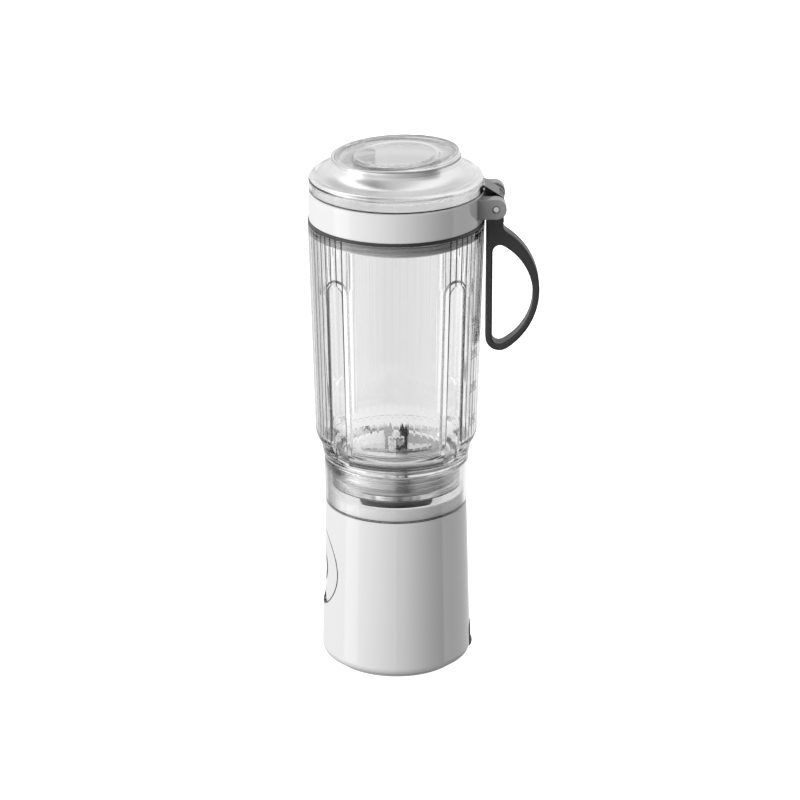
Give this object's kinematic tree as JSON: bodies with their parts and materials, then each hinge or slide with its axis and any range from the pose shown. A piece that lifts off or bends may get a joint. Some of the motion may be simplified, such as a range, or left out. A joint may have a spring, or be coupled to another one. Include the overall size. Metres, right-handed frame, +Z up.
{
  "type": "cordless portable blender",
  "caption": "Battery-powered personal blender: white motor base, fluted clear jar, blade unit, screw lid with clear flip cap and hinged carry loop.",
  "frame": {"origin": "centre of the base's underside, on the jar's axis, where it stands", "axes": "+Z up along the jar's axis, -Y towards the power button, +Y towards the lid hinge, carry loop and charge port"},
  "size_m": [0.0932, 0.1222, 0.2867],
  "materials": {
    "gloss_white": "gloss moulded ABS",
    "deck_grey": "satin moulded",
    "clear_plastic": "clear moulded copolyester",
    "dark_rubber": "satin",
    "grey_silicone": "satin translucent silicone",
    "blade_steel": "ground stainless",
    "bright_pin": "polished",
    "holder_steel": "satin",
    "dark_plastic": "moulded nylon",
    "inner_plastic": "moulded ABS",
    "lead_insulation": "PVC-covered wire",
    "motor_steel": "plated",
    "board": "solder resist",
    "cell_wrap": "shrink-wrapped cell"
  },
  "bodies": {
    "base": {"base_housing": "gloss_white", "top_deck": "deck_grey", "seat_gasket": "dark_rubber", "control_panel": "gloss_white", "indicator_bar": "dark_plastic", "tact_switch": "dark_plastic", "control_board": "board", "charge_socket": "motor_steel", "charge_board": "board", "bottom_cover": "inner_plastic", "cover_screws": "motor_steel", "foot_pad": "grey_silicone", "motor_mount": "inner_plastic", "mount_screws": "motor_steel", "motor_screws": "motor_steel", "motor_can": "motor_steel", "motor_end_cap": "dark_plastic", "motor_magnets": "motor_steel", "battery_cells": "cell_wrap", "battery_cradle": "inner_plastic", "cell_tabs": "motor_steel", "lead_wires": "lead_insulation"},
    "rotor": {"rotor_core": "motor_steel", "motor_shaft": "motor_steel", "drive_coupling": "dark_plastic"},
    "button": {"power_button": "gloss_white", "switch_plunger": "dark_plastic"},
    "port_flap": {"port_cover": "dark_rubber"},
    "blade_unit": {"blade_collar": "clear_plastic", "blade_holder": "holder_steel", "blade_bearings": "holder_steel", "bearing_spacer": "holder_steel", "shaft_seal": "grey_silicone", "jar_seal": "grey_silicone"},
    "blade_set": {"blade_shaft": "blade_steel", "lower_blade": "blade_steel", "blade_cross": "blade_steel", "blade_nut": "blade_steel", "driven_coupling": "dark_plastic"},
    "jar_body": {"jar": "clear_plastic"},
    "lid": {"lid_gasket": "dark_rubber", "lid_ring": "gloss_white", "pour_deck": "gloss_white", "deck_seal": "grey_silicone", "hinge_pin": "bright_pin"},
    "cap": {"flip_lid": "clear_plastic", "spout_plug": "grey_silicone"},
    "loop": {"carry_loop": "dark_rubber"}
  },
  "joints": [
    {"name": "motor_spin", "type": "hinge", "parent": "base", "child": "rotor", "pos_m": [0, 0, 0.06], "axis": [0, 0, 1], "continuous": true},
    {"name": "button_press", "type": "slide", "parent": "base", "child": "button", "axis": [0, 1, 0], "range_m": [0, 0.0012], "stiffness_N_per_m": 1800},
    {"name": "port_flap_hinge", "type": "hinge", "parent": "base", "child": "port_flap", "pos_m": [0, 0.04025, 0.0177], "axis": [1, 0, 0], "range_deg": [0, 100]},
    {"name": "blade_unit_lift", "type": "slide", "parent": "base", "child": "blade_unit", "axis": [0, 0, 1], "range_m": [0, 0.03]},
    {"name": "blade_spin", "type": "hinge", "parent": "blade_unit", "child": "blade_set", "pos_m": [0, 0, 0.11], "axis": [0, 0, 1], "continuous": true},
    {"name": "jar_lift", "type": "slide", "parent": "blade_unit", "child": "jar_body", "axis": [0, 0, 1], "range_m": [0, 0.04]},
    {"name": "lid_lift", "type": "slide", "parent": "jar_body", "child": "lid", "axis": [0, 0, 1], "range_m": [0, 0.04]},
    {"name": "flip_lid_hinge", "type": "hinge", "parent": "lid", "child": "cap", "pos_m": [0, 0.05205, 0.2596], "axis": [-1, 0, 0], "range_deg": [0, 110]},
    {"name": "carry_loop_hinge", "type": "hinge", "parent": "lid", "child": "loop", "pos_m": [0, 0.05205, 0.2596], "axis": [-1, 0, 0], "range_deg": [-110, 0]}
  ],
  "couplings": [
    {"joint": "blade_spin", "follows": "motor_spin", "ratio": 1}
  ]
}
